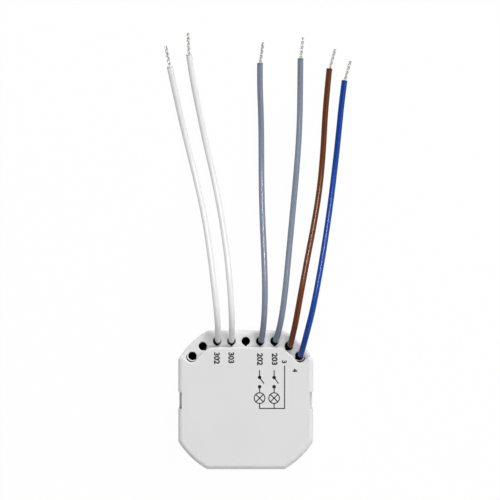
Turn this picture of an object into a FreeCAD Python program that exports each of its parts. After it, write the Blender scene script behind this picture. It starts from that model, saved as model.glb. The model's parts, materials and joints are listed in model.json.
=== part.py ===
import FreeCAD, Part
import math
import os
import re
import Sketcher

# Wireless relay controller for a round flush box: a snap-together housing with a
# recessed shelf, nine lead outlets and six flexible leads with stripped ends.
# It lies on its back. The origin is the centre of the back face, +Z points out of
# the face and +Y towards the leads. All lengths are in millimetres.

SIZES = {
    # Housing
    "body_wide": 47.0,
    "body_tall": 48.0,
    "body_thick": 22.0,
    "corner_cut": 6.09,
    "wall": 1.2,
    "face_wall": 1.4,
    "floor_wall": 1.4,
    "face_round": 1.5,
    "foot_round": 0.8,
    "seam_height": 7.0,
    "seam_bevel": 0.25,
    "lip_tall": 2.5,
    "lip_thick": 0.9,
    "fit_gap": 0.1,
    # Recessed shelf and its lead outlets
    "shelf_deep": 3.0,
    "shelf_wide": 5.45,
    "ring_wide": 5.15,
    "step_bend": 4.0,
    "step_round": 0.6,
    "rim_round": 1.0,
    "outlet_pitch": 5.0,
    "row_inset": 3.4,
    "bend_inset": 3.42,
    "bend_turn": 11.86,
    "end_round": 1.86,
    "end_turn": 8.33,
    "end_gap": 0.4,
    "pit_deep": 0.9,
    "outlet_diameter": 2.8,
    "outlet_bevel": 0.25,
    "notch_radius": 0.5,
    "notch_reach": 0.35,
    # Side grooves and the latches in them
    "groove_wide": 5.9,
    "groove_deep": 1.2,
    "tongue_thick": 0.8,
    "tongue_top": 16.0,
    "window_wide": 3.6,
    "window_low": 11.0,
    "window_tall": 3.0,
    "nib_wide": 3.2,
    "nib_deep": 0.7,
    # Leads
    "lead_diameter": 2.1,
    "conductor_diameter": 1.1,
    "stripped_length": 7.5,
    # Circuit board and its seats
    "board_inset": 2.5,
    "board_thick": 1.6,
    "post_tall": 2.0,
    "post_radius": 1.2,
    "post_inset": 5.3,
    "post_spread": 5.5,
    "peg_radius": 0.6,
    "rib_long": 1.0,
    "rib_drop": 3.6,
    "joint_radius": 0.45,
    "solder_radius": 0.95,
    "solder_tall": 0.9,
    "solder_slope": 25.0,
    # Relays
    "relay_long": 20.5,
    "relay_wide": 7.2,
    "head_room": 0.3,
    "relay_x": 0.0,
    "relay_gap": 0.3,
    "relay_space": 0.4,
    "case_wall": 0.6,
    "case_round": 0.5,
    "case_gap": 0.05,
    "base_thick": 1.2,
    "yoke_room": 0.75,
    "yoke_thick": 1.0,
    "yoke_wide": 5.0,
    "yoke_long": 7.3,
    "tail_wide": 2.0,
    "contact_room": 3.1,
    "coil_room": 3.5,
    "core_radius": 1.2,
    "head_radius": 2.2,
    "head_thick": 0.6,
    "bobbin_wall": 0.45,
    "flange_thick": 0.7,
    "flange_long": 6.2,
    "flange_room": 0.3,
    "flange_shelf": 1.3,
    "coil_inset": 0.1,
    "coil_pin_radius": 0.35,
    "coil_pin_spread": 1.8,
    "open_angle": 3.0,
    "air_gap": 0.05,
    "armature_thick": 0.9,
    "armature_long": 6.8,
    "armature_tail": 0.5,
    "armature_wide": 4.4,
    "spring_thick": 0.25,
    "spring_wide": 3.2,
    "spring_start": 1.0,
    "rivet_radius": 1.1,
    "rivet_tall": 0.7,
    "contact_clear": 0.03,
    "blade_thick": 0.6,
    "blade_wide": 3.0,
    "blade_offset": 2.0,
    "blade_room": 1.15,
    # Transformer
    "transformer_x": -0.6,
    "transformer_y": -6.8,
    "ferrite_wide": 13.0,
    "ferrite_room": 1.7,
    "ferrite_deep": 5.0,
    "ferrite_low": 1.6,
    "ferrite_limb": 1.8,
    "ferrite_centre": 3.2,
    "tube_wall": 0.7,
    "winding_room": 0.4,
    "winding_deep": 9.4,
    "winding_round": 1.5,
    "rail_thick": 1.7,
    "rail_long": 11.0,
    # Other parts of the mains supply
    "film_x": -14.4,
    "film_y": -5.0,
    "film_long": 13.0,
    "film_thick": 5.0,
    "film_tall": 11.0,
    "film_pin_pitch": 10.0,
    "varistor_x": -15.0,
    "varistor_y": 11.0,
    "varistor_radius": 4.2,
    "varistor_thick": 3.4,
    "varistor_rise": 5.2,
    "varistor_pin_pitch": 5.0,
    "fuse_x": -11.0,
    "fuse_room": 0.5,
    "fuse_long": 6.6,
    "fuse_radius": 1.3,
    "fuse_rise": 2.0,
    "fuse_pin_pitch": 10.0,
    "wire_radius": 0.3,
    "bridge_long": 4.7,
    "bridge_wide": 3.9,
    "bridge_tall": 1.4,
    "bridge_lift": 0.1,
    "bridge_leg_pitch": 2.6,
    "bridge_leg_long": 0.9,
    "bridge_leg_thick": 0.25,
    "large_can_x": 13.2,
    "large_can_y": -4.0,
    "large_can_radius": 4.0,
    "large_can_tall": 12.0,
    "small_can_gap": 0.85,
    "small_can_y": 8.2,
    "small_can_radius": 2.5,
    "small_can_tall": 11.0,
    "can_groove": 0.3,
    "can_pin_pitch": 2.5,
    "choke_x": 12.4,
    "choke_y": -11.8,
    "choke_radius": 3.4,
    "choke_tall": 8.0,
    "choke_flange": 1.2,
    "choke_waist": 1.4,
    # Radio board, standing on its header
    "radio_x": 0.0,
    "radio_inset": 5.4,
    "radio_long": 18.0,
    "radio_room": 2.3,
    "radio_thick": 1.0,
    "header_tall": 2.0,
    "header_thick": 2.2,
    "header_pitch": 2.0,
    "header_pin_radius": 0.25,
    "shield_long": 8.5,
    "shield_tall": 7.5,
    "shield_thick": 1.8,
    "shield_wall": 0.2,
    "chip_long": 5.0,
    "chip_thick": 0.9,
    "crystal_long": 3.2,
    "crystal_wide": 2.5,
    "crystal_thick": 0.8,
    "antenna_thick": 0.3,
    # Small parts soldered under the board
    "smd_long": 2.0,
    "smd_wide": 1.2,
    "smd_tall": 0.6,
}

BOARD_LOW = "(floor_wall + post_tall)"
BOARD_TOP = "(floor_wall + post_tall + board_thick)"
SHELF = "(body_thick - shelf_deep)"
SHELF_CEILING = "(body_thick - shelf_deep - face_wall)"
FACE_CEILING = "(body_thick - face_wall)"
CLEAR = "(2 * body_thick)"
CORNER = "(hypot(body_wide; body_tall) / 2 - corner_cut)"
OUTSIDE = f"(2 * {CORNER})"
SIDE_ANGLE = f"acos(body_wide / (2 * {CORNER}))"
STEP_LINE = "(body_tall / 2 - shelf_wide)"
STEP_RADIUS = f"({CORNER} - ring_wide)"
END_ANGLE = f"({SIDE_ANGLE} + end_turn * 1 deg)"
END_REACH = f"({STEP_RADIUS} + end_round)"
BEND_ANGLE = f"({END_ANGLE} + bend_turn * 1 deg)"
BEND_REACH = f"({CORNER} - bend_inset)"
STOP_ANGLE = f"({END_ANGLE} - asin(end_gap / {END_REACH}))"
STOP_X = f"({END_REACH} * cos({STOP_ANGLE}))"
STOP_Y = f"({END_REACH} * sin({STOP_ANGLE}))"
NOTCH_DROP = "(outlet_diameter / 2 + notch_reach - notch_radius)"

SIDES = ((-1, "left"), (1, "right"))
ENDS = ((-1, "near"), (1, "far"))
NEAR = 1e-3


def outlet_places(drop="0"):
    """Five outlets in a row, then two on each side, or points that far from them towards the step."""
    places = [(f"{number} * outlet_pitch", f"body_tall / 2 - row_inset - {drop}") for number in range(-2, 3)]
    for side in (-1, 1):
        for reach, angle in ((BEND_REACH, BEND_ANGLE), (END_REACH, END_ANGLE)):
            places.append((f"{side} * ({reach} - {drop}) * cos({angle})", f"({reach} - {drop}) * sin({angle})"))
    return places


OUTLETS = outlet_places()
END_X, END_Y = OUTLETS[-1]

doc = FreeCAD.newDocument("RelayController")
sheet = doc.addObject("Spreadsheet::Sheet", "Sizes")
for row, (alias, amount) in enumerate(SIZES.items(), 1):
    sheet.set(f"A{row}", alias)
    sheet.set(f"B{row}", str(amount))
    sheet.setAlias(f"B{row}", alias)
doc.recompute()

nodes = []
pin_places = []


# Helpers for formulas, solids and sketches

def linked(formula):
    """Write the sheet's name before each size in a formula."""
    def with_sheet(word):
        return f"Sizes.{word[0]}" if word[0] in SIZES else word[0]

    return re.sub(r"[a-z]\w*", with_sheet, str(formula))


def size(formula):
    """Value of a formula with the sheet's present sizes."""
    result = sheet.evalExpression(str(formula))
    return float(getattr(result, "Value", result))


def bind(item, formulas):
    """Tie properties of an object to the sheet."""
    for name, formula in formulas.items():
        item.setExpression(name, linked(formula))


def move(item, x="0", y="0", z="0"):
    bind(item, {"Placement.Base.x": x, "Placement.Base.y": y, "Placement.Base.z": z})
    return item


def keep(item, x="0", y="0", z="0"):
    """Count an object as a sub-part and put it in its place."""
    nodes.append(item)
    return move(item, x, y, z)


def box(label, low, high):
    item = doc.addObject("Part::Box", label)
    spans = [f"({b}) - ({a})" for a, b in zip(low, high)]
    bind(item, dict(zip(("Length", "Width", "Height"), spans)))
    return move(item, *low)


def block(label, wide, deep, low, high, x="0", y="0"):
    """Upright block centred on a point of the plan."""
    corner = (f"({x}) - ({wide}) / 2", f"({y}) - ({deep}) / 2", low)
    return box(label, corner, (f"({x}) + ({wide}) / 2", f"({y}) + ({deep}) / 2", high))


def rod(label, radius, low, high, x="0", y="0"):
    item = doc.addObject("Part::Cylinder", label)
    bind(item, {"Radius": radius, "Height": f"({high}) - ({low})"})
    return move(item, x, y, low)


def flat_rod(label, radius, long, z):
    """Cylinder that lies along X, centred over the origin."""
    item = doc.addObject("Part::Cylinder", label)
    bind(item, {"Radius": radius, "Height": long})
    item.Placement.Rotation = FreeCAD.Rotation(FreeCAD.Vector(0, 1, 0), 90)
    return move(item, f"-({long}) / 2", "0", z)


def fuse(label, shapes):
    item = doc.addObject("Part::MultiFuse", label)
    item.Shapes = shapes
    return item


def common(label, shapes):
    item = doc.addObject("Part::MultiCommon", label)
    item.Shapes = shapes
    return item


def cut(label, base, tools):
    item = doc.addObject("Part::Cut", label)
    item.Base = base
    item.Tool = tools[0] if len(tools) == 1 else fuse(label + "_tools", tools)
    return item


def edged(kind, label, base, amount, chosen):
    """Fillet or Chamfer on the edges that a test chooses."""
    doc.recompute()
    item = doc.addObject(f"Part::{kind}", label)
    item.Base = base
    reach = size(amount)
    item.Edges = [(number, reach, reach) for number, edge in enumerate(base.Shape.Edges, 1) if chosen(edge)]
    return item


def at_height(edge, formula):
    return all(abs(vertex.Z - size(formula)) < NEAR for vertex in edge.Vertexes)


def middle(edge):
    return edge.valueAt((edge.FirstParameter + edge.LastParameter) / 2)


def outline(label, inset, low, high):
    """Housing outline, drawn in by an inset: a rectangle cut by the corner circle."""
    square = block(label + "_square", f"body_wide - 2 * ({inset})", f"body_tall - 2 * ({inset})", low, high)
    return common(label, [square, rod(label + "_circle", f"{CORNER} - ({inset})", low, high)])


def attach(body, label, plane, start):
    """Sketch on one of the body's own planes, shifted along the plane's normal."""
    sketch = body.newObject("Sketcher::SketchObject", label)
    support = next(feature for feature in body.Origin.OriginFeatures if feature.Role == plane + "_Plane")
    sketch.AttachmentSupport = [(support, "")]
    sketch.MapMode = "FlatFace"
    bind(sketch, {"AttachmentOffset.Base.z": start})
    return sketch


def fix(sketch, name, constraint, formula):
    number = sketch.addConstraint(constraint)
    sketch.renameConstraint(number, name)
    bind(sketch, {f"Constraints.{name}": formula})


def pin_point(sketch, name, geometry, position, x, y):
    """Fix a point of a sketch at its distances from the origin."""
    fix(sketch, name + "_x", Sketcher.Constraint("DistanceX", -1, 1, geometry, position, size(x)), x)
    fix(sketch, name + "_y", Sketcher.Constraint("DistanceY", -1, 1, geometry, position, size(y)), y)


def polygon(sketch, corners):
    first = sketch.GeometryCount
    places = [FreeCAD.Vector(size(x), size(y), 0) for x, y in corners]
    for place, following in zip(places, places[1:] + places[:1]):
        sketch.addGeometry(Part.LineSegment(place, following))
    for number, (x, y) in enumerate(corners):
        line = first + number
        following = first + (number + 1) % len(corners)
        sketch.addConstraint(Sketcher.Constraint("Coincident", line, 2, following, 1))
        pin_point(sketch, f"corner_{line}", line, 1, x, y)
    return sketch


def rectangle(sketch, low, high):
    return polygon(sketch, [low, (high[0], low[1]), high, (low[0], high[1])])


def circles(sketch, radius, centres):
    for x, y in centres:
        centre = FreeCAD.Vector(size(x), size(y), 0)
        number = sketch.addGeometry(Part.Circle(centre, FreeCAD.Vector(0, 0, 1), size(radius)))
        fix(sketch, f"radius_{number}", Sketcher.Constraint("Radius", number, size(radius)), radius)
        pin_point(sketch, f"centre_{number}", number, 3, x, y)
    return sketch


def housing_sketch(sketch, inset):
    """The housing outline as four sides and four arcs about the origin."""
    half_wide = f"(body_wide / 2 - {inset})"
    half_tall = f"(body_tall / 2 - {inset})"
    radius = f"({CORNER} - {inset})"
    right, top, reach = size(half_wide), size(half_tall), size(radius)
    low_angle = math.acos(right / reach)
    high_angle = math.asin(top / reach)
    for quarter in range(4):
        swap = quarter % 2
        start = quarter * math.pi / 2 + (math.pi / 2 - high_angle if swap else low_angle)
        end = quarter * math.pi / 2 + (math.pi / 2 - low_angle if swap else high_angle)
        whole = Part.Circle(FreeCAD.Vector(), FreeCAD.Vector(0, 0, 1), reach)
        sketch.addGeometry(Part.ArcOfCircle(whole, start, end))
    for quarter in range(4):
        from_arc = sketch.Geometry[quarter].EndPoint
        to_arc = sketch.Geometry[(quarter + 1) % 4].StartPoint
        side = sketch.addGeometry(Part.LineSegment(from_arc, to_arc))
        sketch.addConstraint(Sketcher.Constraint("Coincident", quarter, 2, side, 1))
        sketch.addConstraint(Sketcher.Constraint("Coincident", side, 2, (quarter + 1) % 4, 1))
        sketch.addConstraint(Sketcher.Constraint("Coincident", quarter, 3, -1, 1))
        sketch.addConstraint(Sketcher.Constraint("Vertical" if quarter % 2 else "Horizontal", side))
        if quarter:
            sketch.addConstraint(Sketcher.Constraint("Equal", 0, quarter))
    fix(sketch, "radius", Sketcher.Constraint("Radius", 0, reach), radius)
    fix(sketch, "top", Sketcher.Constraint("DistanceY", -1, 1, 4, 1, top), half_tall)
    fix(sketch, "left", Sketcher.Constraint("DistanceX", -1, 1, 5, 1, -right), f"-{half_wide}")
    fix(sketch, "bottom", Sketcher.Constraint("DistanceY", -1, 1, 6, 1, -top), f"-{half_tall}")
    fix(sketch, "right", Sketcher.Constraint("DistanceX", -1, 1, 7, 1, right), half_wide)
    return sketch


def pad(body, sketch, length, both_ways=False):
    feature = body.newObject("PartDesign::Pad", sketch.Name + "_pad")
    feature.Profile = sketch
    feature.Midplane = both_ways
    bind(feature, {"Length": length})
    return feature


def pocket(body, sketch, length, reverse=False):
    feature = body.newObject("PartDesign::Pocket", sketch.Name + "_pocket")
    feature.Profile = sketch
    feature.Reversed = reverse
    bind(feature, {"Length": length})
    return feature


def plate(label, corners, width):
    """Piece of even width, centred on the XZ plane, whose side view is a polygon."""
    body = doc.addObject("PartDesign::Body", label)
    pad(body, polygon(attach(body, label + "_side", "XZ", "0"), corners), width, both_ways=True)
    return body


def turned(label, profile):
    """Round piece about Z from a half section of radius and height pairs."""
    body = doc.addObject("PartDesign::Body", label)
    sketch = polygon(attach(body, label + "_section", "XZ", "0"), profile)
    feature = body.newObject("PartDesign::Revolution", label + "_turn")
    feature.Profile = sketch
    feature.ReferenceAxis = (sketch, ["V_Axis"])
    feature.Angle = 360
    return body


def soft_edges(body, amount, chosen):
    """Rounded edges on a body, chosen by a test."""
    doc.recompute()
    base = body.Tip
    feature = body.newObject("PartDesign::Fillet", body.Name + "_round")
    feature.Base = (base, [f"Edge{n}" for n, edge in enumerate(base.Shape.Edges, 1) if chosen(edge)])
    bind(feature, {"Radius": amount})


def upright(edge):
    return len(edge.Vertexes) == 2 and abs(edge.Vertexes[0].Z - edge.Vertexes[1].Z) > 1


def add_pins(places, x="0", y="0"):
    """Note where pins pass the board, from places relative to a component."""
    pin_places.extend((f"({x}) + ({dx})", f"({y}) + ({dy})") for dx, dy in places)


# Housing

def on_bend(edge):
    """Upright edges where the straight step meets its arcs."""
    return upright(edge) and abs(middle(edge).y - size(STEP_LINE)) < NEAR


def on_step(edge):
    """Upper edges of the step: those of the face that aren't on its own outline."""
    point, inset = middle(edge), size("face_round")
    on_sides = abs(abs(point.x) - size("body_wide / 2") + inset) < NEAR
    on_ends = abs(abs(point.y) - size("body_tall / 2") + inset) < NEAR
    on_corners = abs(math.hypot(point.x, point.y) - size(CORNER) + inset) < NEAR
    return at_height(edge, "body_thick") and not (on_sides or on_ends or on_corners)


def on_rim(edge):
    """Outer edge of the shelf."""
    point = middle(edge)
    on_arc = abs(math.hypot(point.x, point.y) - size(CORNER)) < NEAR
    on_side = abs(point.y - size("body_tall / 2")) < NEAR
    return at_height(edge, SHELF) and (on_arc or on_side)


def shelf_tools():
    """Solids that cut the shelf: a strip, a ring sector and a slot with a narrow pit at each end."""
    strip = box("shelf_strip", (f"-{OUTSIDE}", STEP_LINE, SHELF), (OUTSIDE, OUTSIDE, CLEAR))
    sector = rod("shelf_sector", OUTSIDE, SHELF, CLEAR)
    bind(sector, {"Angle": f"180 deg - 2 * {STOP_ANGLE}"})
    sector.Placement.Rotation = FreeCAD.Rotation(FreeCAD.Vector(0, 0, 1), 1)
    bind(sector, {"Placement.Rotation.Angle": STOP_ANGLE})
    ring = cut("shelf_ring", sector, [rod("shelf_centre", STEP_RADIUS, "0", f"2 * {CLEAR}")])
    tools = [strip, ring]
    for side, name in SIDES:
        x = f"{side} * {STOP_X}"
        tools.append(rod(f"shelf_end_{name}", "end_round", SHELF, CLEAR, x, STOP_Y))
        slot = doc.addObject("Part::Box", f"shelf_slot_{name}")
        bind(slot, {"Length": CORNER, "Width": "2 * end_round", "Height": f"{CLEAR} - {SHELF}"})
        slot.Placement.Rotation = FreeCAD.Rotation(FreeCAD.Vector(0, 0, 1), 1)
        turn = STOP_ANGLE if side > 0 else f"(180 deg - {STOP_ANGLE})"
        bind(slot, {"Placement.Rotation.Angle": turn})
        move(slot, f"{x} + end_round * sin({turn})", f"{STOP_Y} - end_round * cos({turn})", SHELF)
        low = f"{SHELF} - pit_deep"
        pit = rod(f"pit_outer_{name}", "end_round", low, SHELF, x, STOP_Y)
        kept = rod(f"pit_inner_{name}", "end_round", "0", CLEAR, f"{side} * {END_X}", END_Y)
        tools += [slot, cut(f"pit_{name}", pit, [kept])]
    return tools


def outlet_tools():
    """Nine holes, each with a small bevel at its mouth and a round notch towards the step."""
    tools = []
    low = f"{SHELF_CEILING} - 1"
    for number, (x, y) in enumerate(outlet_places(NOTCH_DROP), 1):
        tools.append(rod(f"outlet_notch_{number}", "notch_radius", low, SHELF, x, y))
    for number, (x, y) in enumerate(OUTLETS, 1):
        tools.append(rod(f"outlet_{number}", "outlet_diameter / 2", low, CLEAR, x, y))
        mouth = doc.addObject("Part::Cone", f"outlet_mouth_{number}")
        bind(mouth, {
            "Radius1": "outlet_diameter / 2",
            "Radius2": "outlet_diameter / 2 + outlet_bevel",
            "Height": "outlet_bevel",
        })
        tools.append(move(mouth, x, y, f"{SHELF} - outlet_bevel"))
    return tools


def side_blocks(label, inner, outer, half_wide, low, high):
    """A block at each side, between two insets from the outline."""
    blocks = []
    for side, name in SIDES:
        near, far = f"{side} * (body_wide / 2 - ({inner}))", f"{side} * (body_wide / 2 - ({outer}))"
        west, east = (near, far) if side > 0 else (far, near)
        low_corner = (west, f"-({half_wide})", low)
        blocks.append(box(f"{label}_{name}", low_corner, (east, half_wide, high)))
    return blocks


def cover_cavity():
    """Room inside the cover, less the walls behind the side grooves and the board ribs."""
    under_shelf = outline("room_under_shelf", "wall", "0", SHELF_CEILING)
    end_low = f"({STOP_Y} - end_round - wall)"
    lower = common("room_under_face", [
        outline("room_face_outline", "wall", SHELF_CEILING, FACE_CEILING),
        box("room_face_limit", (f"-{OUTSIDE}", f"-{OUTSIDE}", "0"), (OUTSIDE, end_low, CLEAR)),
    ])
    upper = common("room_by_step", [
        rod("room_step_circle", f"{STEP_RADIUS} - wall", SHELF_CEILING, FACE_CEILING),
        box("room_step_limit", (f"-{OUTSIDE}", f"-{OUTSIDE}", "0"), (OUTSIDE, f"{STEP_LINE} - wall", CLEAR)),
    ])
    room = fuse("room", [under_shelf, lower, upper])
    kept = side_blocks("groove_back", "groove_deep + wall", "0", "groove_wide / 2 + wall", "0", CLEAR)
    rib_end = "(board_inset + rib_long)"
    lip_top = "seam_height + lip_tall + fit_gap"
    for end, place in ENDS:
        y = f"{end} * ({END_Y} - rib_drop)"
        for side, name in SIDES:
            label = f"rib_{name}_{place}"
            x = f"{side} * (body_wide / 2 - (wall + {rib_end}) / 2)"
            above_lip = block(label, f"{rib_end} - wall", "wall", lip_top, CLEAR, x, y)
            inner_x = f"{side} * (body_wide / 2 - {rib_end} + rib_long / 2)"
            to_board = block(label + "_foot", "rib_long", "wall", f"{BOARD_TOP} + fit_gap", CLEAR, inner_x, y)
            kept += [above_lip, to_board]
    return cut("cavity", room, kept)


def nibs():
    """Latch nibs on the groove floors, flat above and sloped below."""
    made = []
    top = "(window_low + window_tall - fit_gap)"
    low = "(window_low + fit_gap)"
    for side, name in SIDES:
        root = f"{side} * (body_wide / 2 - groove_deep)"
        sunk = f"{side} * (body_wide / 2 - groove_deep - wall / 2)"
        tip = f"{side} * (body_wide / 2 - groove_deep + nib_deep)"
        profile = [(sunk, low), (root, low), (tip, f"({top} + {low}) / 2"), (tip, top), (sunk, top)]
        made.append(plate(f"nib_{name}", profile, "nib_wide"))
    return made


def edges_at(formula):
    """Test that chooses the edges at one height."""
    return lambda edge: at_height(edge, formula)


def make_front_cover():
    block_shape = outline("cover_block", "0", "seam_height", "body_thick")
    bevelled = edged("Chamfer", "cover_seam", block_shape, "seam_bevel", edges_at("seam_height"))
    softened = edged("Fillet", "cover_face", bevelled, "face_round", edges_at("body_thick"))
    stepped = cut("cover_stepped", softened, shelf_tools())
    bent = edged("Fillet", "cover_bend", stepped, "step_bend", on_bend)
    step = edged("Fillet", "cover_step", bent, "step_round", on_step)
    rim = edged("Fillet", "cover_rim", step, "rim_round", on_rim)
    grooves = side_blocks("groove", "groove_deep", "-1", "groove_wide / 2", "0", CLEAR)
    hollow = cut("cover_shell", rim, [cover_cavity()] + grooves + outlet_tools())
    keep(fuse("front_cover", [hollow] + nibs()))


def post_place(side, end):
    return f"{side} * (body_wide / 2 - post_inset)", f"{end} * post_spread"


TONGUE_BACK = "(groove_deep - fit_gap)"
TONGUE_FACE = f"({TONGUE_BACK} - tongue_thick)"


def make_rear_tray():
    block_shape = outline("tray_block", "0", "0", "seam_height")
    bevelled = edged("Chamfer", "tray_seam", block_shape, "seam_bevel", edges_at("seam_height"))
    softened = edged("Fillet", "tray_foot", bevelled, "foot_round", edges_at("0"))
    lip = outline("tray_lip", "wall + fit_gap", "floor_wall", "seam_height + lip_tall")
    room = outline("tray_room", "wall + fit_gap + lip_thick", "floor_wall", CLEAR)
    notch_half = "groove_wide / 2 + wall + fit_gap"
    notches = side_blocks("lip_notch", "groove_deep + wall + fit_gap", "-1", notch_half, "seam_height", CLEAR)
    recesses = side_blocks("tray_groove", TONGUE_FACE, "-1", "groove_wide / 2", "-1", "seam_height")
    shell = cut("tray_shell", fuse("tray_walls", [softened, lip]), [room] + notches + recesses)
    tongue_half = "groove_wide / 2 - fit_gap"
    tongues = side_blocks("tongue", TONGUE_BACK, TONGUE_FACE, tongue_half, "seam_height - wall", "tongue_top")
    window_top = "window_low + window_tall"
    windows = side_blocks("window", "groove_deep", "-1", "window_wide / 2", "window_low", window_top)
    latches = cut("latches", fuse("tongues", tongues), windows)
    posts = []
    for side, name in SIDES:
        for end, along in ENDS:
            place = post_place(side, end)
            posts.append(rod(f"post_{name}_{along}", "post_radius", "floor_wall / 2", BOARD_LOW, *place))
            if side != end:
                posts.append(rod(f"peg_{name}_{along}", "peg_radius", "floor_wall", BOARD_TOP, *place))
    keep(fuse("rear_tray", [shell, latches] + posts))


# Leads. Each route is a list chosen by hand: offsets in X and Y from the lead's
# outlet, and the height. A lead stands on the board, leans through its outlet,
# bends over the rim, sinks to the surface and lies there to its stripped end.

board_face = size(BOARD_TOP)
shelf = size(SHELF)
laid = size("lead_diameter / 2")

ROUTES = {
    "white_lead_1": [
        (0.0, -1.3, board_face), (0.0, -1.3, shelf - 7.0), (0.0, 0.5, shelf + 2.5),
        (0.0, 7.6, shelf + 8.4), (-1.1, 17.5, shelf + 7.9), (-2.7, 30.8, 19.8), (-4.8, 43.8, 9.0),
        (-7.6, 56.7, 2.5), (-10.8, 69.5, laid), (-13.1, 78.9, laid), (-15.1, 87.8, laid),
        (-16.8, 95.9, laid),
    ],
    "white_lead_2": [
        (0.0, -1.3, board_face), (0.0, -1.3, shelf - 7.0), (0.0, 0.5, shelf + 2.5),
        (0.0, 7.7, shelf + 8.1), (-0.6, 17.6, shelf + 7.3), (-1.8, 30.4, 19.0), (-3.8, 43.4, 8.4),
        (-6.2, 56.4, 2.2), (-9.4, 70.3, laid), (-11.8, 82.0, laid), (-13.7, 91.5, laid),
        (-14.9, 100.7, laid),
    ],
    "grey_lead_1": [
        (-0.2, -1.3, board_face), (-0.2, -1.3, shelf - 7.0), (0.1, 0.5, shelf + 2.5),
        (1.1, 7.5, shelf + 8.3), (1.4, 17.3, shelf + 8.1), (1.1, 30.2, 20.6), (0.6, 43.0, 10.0),
        (0.3, 56.4, 2.8), (0.3, 69.6, laid), (0.1, 80.6, laid), (-0.4, 89.5, laid), (0.0, 97.6, laid),
    ],
    "grey_lead_2": [
        (-0.3, -1.3, board_face), (-0.3, -1.3, shelf - 7.0), (0.2, 0.5, shelf + 2.5),
        (2.0, 7.3, shelf + 8.0), (3.4, 17.1, shelf + 7.4), (4.8, 29.8, 19.3), (6.1, 42.6, 8.8),
        (7.3, 55.6, 2.3), (8.4, 69.2, laid), (8.9, 81.0, laid), (8.7, 90.3, laid), (9.2, 99.2, laid),
    ],
    "brown_lead": [
        (-0.3, -1.3, board_face), (-0.3, -1.3, shelf - 7.0), (0.1, 0.5, shelf + 2.5),
        (1.9, 7.4, shelf + 8.4), (3.7, 17.0, shelf + 8.2), (6.2, 30.2, 20.2), (8.9, 43.0, 9.6),
        (11.0, 56.0, 2.7), (12.1, 69.2, laid), (12.5, 79.8, laid), (12.9, 88.7, laid), (14.5, 97.3, laid),
    ],
    "blue_lead": [
        (-0.4, -1.3, board_face), (-0.4, -1.3, shelf - 7.0), (0.1, 0.5, shelf + 2.5),
        (2.1, 7.3, shelf + 8.5), (4.5, 16.8, shelf + 8.4), (7.1, 29.8, 20.7), (9.4, 42.8, 10.2),
        (11.4, 56.0, 2.9), (13.1, 70.0, laid), (14.1, 79.9, laid), (14.7, 88.3, laid), (16.2, 96.4, laid),
    ],
}
LEAD_OUTLETS = dict(zip(ROUTES, OUTLETS[:2] + OUTLETS[3:5] + OUTLETS[7:]))


ARC_SHARE = 0.45


def rounded_path(points):
    """Straight runs joined by tangent arcs, each as large as its two runs allow."""
    edges, radii = [], []
    start = points[0]
    for before, corner, after in zip(points, points[1:], points[2:]):
        reach = ARC_SHARE * min((corner - before).Length, (after - corner).Length)
        arriving = (corner - before).normalize()
        leaving = (after - corner).normalize()
        half_turn = arriving.getAngle(leaving) / 2
        radius = reach / math.tan(half_turn)
        inward = (leaving - arriving).normalize()
        into, out = corner - arriving * reach, corner + leaving * reach
        crown = corner + inward * (radius / math.cos(half_turn) - radius)
        edges += [Part.LineSegment(start, into).toShape(), Part.Arc(into, crown, out).toShape()]
        radii.append(radius)
        start = out
    edges.append(Part.LineSegment(start, points[-1]).toShape())
    return Part.Wire(edges), radii


def make_leads():
    radius = size("lead_diameter / 2")
    for name, route in ROUTES.items():
        x, y = LEAD_OUTLETS[name]
        points = [FreeCAD.Vector(*point) for point in route]
        path, radii = rounded_path(points)
        section = Part.Wire(Part.Circle(points[0], FreeCAD.Vector(0, 0, 1), radius).toShape())
        tube = doc.addObject("Part::Feature", name)
        tube.Shape = path.makePipeShell([section], True, False)
        expected = math.pi * radius ** 2 * path.Length
        print(name, "length", round(path.Length, 1), "smallest radius", round(min(radii), 1),
              "volume ratio", round(tube.Shape.Volume / expected, 4))
        keep(tube, x, y)
        wire_end = doc.addObject("Part::Feature", name + "_end")
        along = points[-1] - points[-2]
        wire_radius = size("conductor_diameter / 2")
        wire_end.Shape = Part.makeCylinder(wire_radius, size("stripped_length"), points[-1], along)
        keep(wire_end, x, y)
        add_pins([route[0][:2]], x, y)


# Relays. Their pieces are drawn about the middle of the relay's footprint on the
# board; the armature and its contact spring are drawn about the hinge edge of the yoke.

RELAY_TALL = f"({FACE_CEILING} - {BOARD_TOP} - head_room)"
RELAY_ROOM = f"({STEP_RADIUS} - wall - relay_gap)"
RELAY_TOP = f"min({STEP_LINE} - wall - relay_gap; sqrt({RELAY_ROOM} ^ 2 - relay_long ^ 2 / 4))"
RELAY_Y = f"({RELAY_TOP} - relay_wide / 2)"
RELAY_PITCH = "(relay_wide + relay_space)"
HINGE_HEIGHT = f"({RELAY_TALL} - contact_room)"
INNER_HALF = "(relay_long / 2 - case_wall)"
YOKE_BACK = f"(yoke_room - {INNER_HALF})"
LEG_FACE = f"({YOKE_BACK} + yoke_thick)"
COIL_X = f"({LEG_FACE} + coil_room)"
HINGE_X = f"({YOKE_BACK} + yoke_thick / 2)"
FOOT_TOP = "(base_thick + yoke_thick)"
FOOT_END = f"({YOKE_BACK} + yoke_long)"
HEAD_LOW = f"({HINGE_HEIGHT} - head_thick)"
COIL_PIN_X = f"({FOOT_END} + flange_shelf / 2)"
BLADE_X = f"({INNER_HALF} - blade_room - blade_thick / 2)"
CONTACT_X = f"({BLADE_X} - blade_offset)"
CONTACT_REACH = f"({CONTACT_X} - {HINGE_X})"
FLANGE_WIDE = "(relay_wide - 2 * case_wall - 2 * flange_room)"
COIL_RADIUS = f"({FLANGE_WIDE} / 2 - coil_inset)"
SPRING_LOW = "(air_gap + armature_thick)"
FIXED_TOP = f"({HINGE_HEIGHT} + {SPRING_LOW} - rivet_tall - contact_clear)"


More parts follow.
